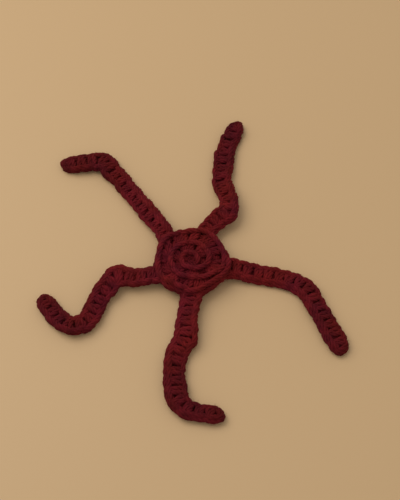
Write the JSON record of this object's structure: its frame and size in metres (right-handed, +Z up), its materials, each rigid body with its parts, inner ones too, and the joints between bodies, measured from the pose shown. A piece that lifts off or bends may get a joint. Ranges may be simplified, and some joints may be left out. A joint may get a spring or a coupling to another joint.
{
  "type": "crocheted brittle star toy",
  "caption": "Crocheted brittle star lying on a flat surface: a round, two-layer disc of single crochet with long, limp, narrow arms that bend and twist as they lie.",
  "frame": {"origin": "middle of the disc's underside, on the surface that the toy lies on", "axes": "+Z up from the surface; +Y points away from the viewer of the picture, between the two upper arms; +X to that viewer's right"},
  "size_m": [0.1372, 0.1607, 0.0098],
  "materials": {
    "yarn": "matt, slightly fuzzy worsted-weight yarn, dark burgundy"
  },
  "bodies": {
    "root": {"disc_lower_layer": "yarn", "disc_upper_layer": "yarn", "arm_1_base": "yarn", "arm_1_middle": "yarn", "arm_1_tip": "yarn", "arm_2_base": "yarn", "arm_2_middle": "yarn", "arm_2_tip": "yarn", "arm_3_base": "yarn", "arm_3_middle": "yarn", "arm_3_tip": "yarn", "arm_4_base": "yarn", "arm_4_middle": "yarn", "arm_4_tip": "yarn", "arm_5_base": "yarn", "arm_5_middle": "yarn", "arm_5_tip": "yarn"}
  },
  "joints": []
}
